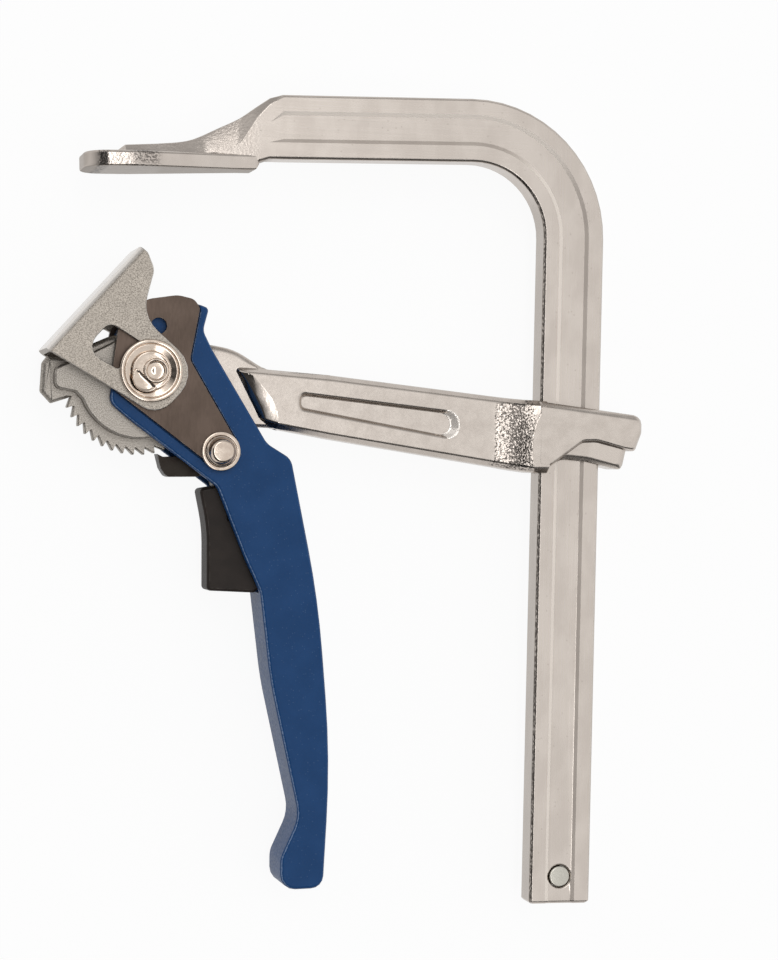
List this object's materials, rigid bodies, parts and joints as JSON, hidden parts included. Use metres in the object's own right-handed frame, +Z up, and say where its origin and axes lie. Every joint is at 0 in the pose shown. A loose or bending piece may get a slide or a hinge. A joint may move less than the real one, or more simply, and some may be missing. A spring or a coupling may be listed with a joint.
{
  "type": "lever bar clamp",
  "caption": "Lever bar clamp: bent steel rail with a fixed jaw, forged sliding arm, and a ratchet handle whose eccentric shaft presses a swivelling folded cap.",
  "frame": {"origin": "middle of the fixed jaw's clamping face", "axes": "the clamp lies flat: +X from the jaws towards the rail, +Y along the rail towards the fixed arm, +Z up out of the face that shows, with z = 0 the middle plane of the rail"},
  "size_m": [0.2393, 0.3183, 0.0374],
  "materials": {
    "plated_steel": "bright zinc plated drawn steel",
    "forged_steel": "zinc plated drop forging, polished where it was dressed",
    "folded_steel": "dull zinc plated sheet",
    "browned_steel": "browned",
    "nickel": "bright nickel",
    "blue_paint": "semi-gloss blue powder coat",
    "black_moulding": "fine matt grain",
    "black_steel": "blackened",
    "spring_steel": "bright wire"
  },
  "bodies": {
    "rail": {"rail_bar": "plated_steel", "stop_pin": "nickel"},
    "arm": {"sliding_arm": "forged_steel"},
    "lever": {"handle": "blue_paint", "cheek_plate_front": "browned_steel", "cheek_plate_rear": "browned_steel", "eccentric_shaft": "nickel", "pawl_rivet": "nickel", "rivet_washer_front": "nickel", "rivet_washer_rear": "nickel", "pawl_spacer": "black_steel", "pawl_spring": "spring_steel"},
    "cap_washers": {"cap_washer_front": "nickel", "cap_washer_rear": "nickel"},
    "cap": {"pressure_cap": "folded_steel"},
    "pawl": {"pawl": "black_steel", "trigger": "black_moulding", "trigger_pin": "black_steel"}
  },
  "joints": [
    {"name": "arm_slide", "type": "slide", "parent": "rail", "child": "arm", "axis": [0, 1, 0], "range_m": [-0.161, 0.029]},
    {"name": "lever_pivot", "type": "hinge", "parent": "arm", "child": "lever", "pos_m": [0.0088, -0.0797, 0], "axis": [0, 0, 1], "range_deg": [-80, 0]},
    {"name": "washer_turn", "type": "hinge", "parent": "lever", "child": "cap_washers", "pos_m": [0.01191, -0.07719, 0], "axis": [0, 0, 1], "range_deg": [0, 72]},
    {"name": "cap_swivel", "type": "hinge", "parent": "cap_washers", "child": "cap", "pos_m": [0.01191, -0.07719, 0], "axis": [0, 0, 1], "range_deg": [-70, 0]},
    {"name": "pawl_pivot", "type": "hinge", "parent": "lever", "child": "pawl", "pos_m": [0.0398, -0.107, 0], "axis": [0, 0, 1], "range_deg": [-4.8, 12], "stiffness_Nm_per_rad": 0.4, "springref_deg": -9.74}
  ],
  "couplings": [
    {"joint": "washer_turn", "follows": "lever_pivot", "ratio": -0.9}
  ]
}
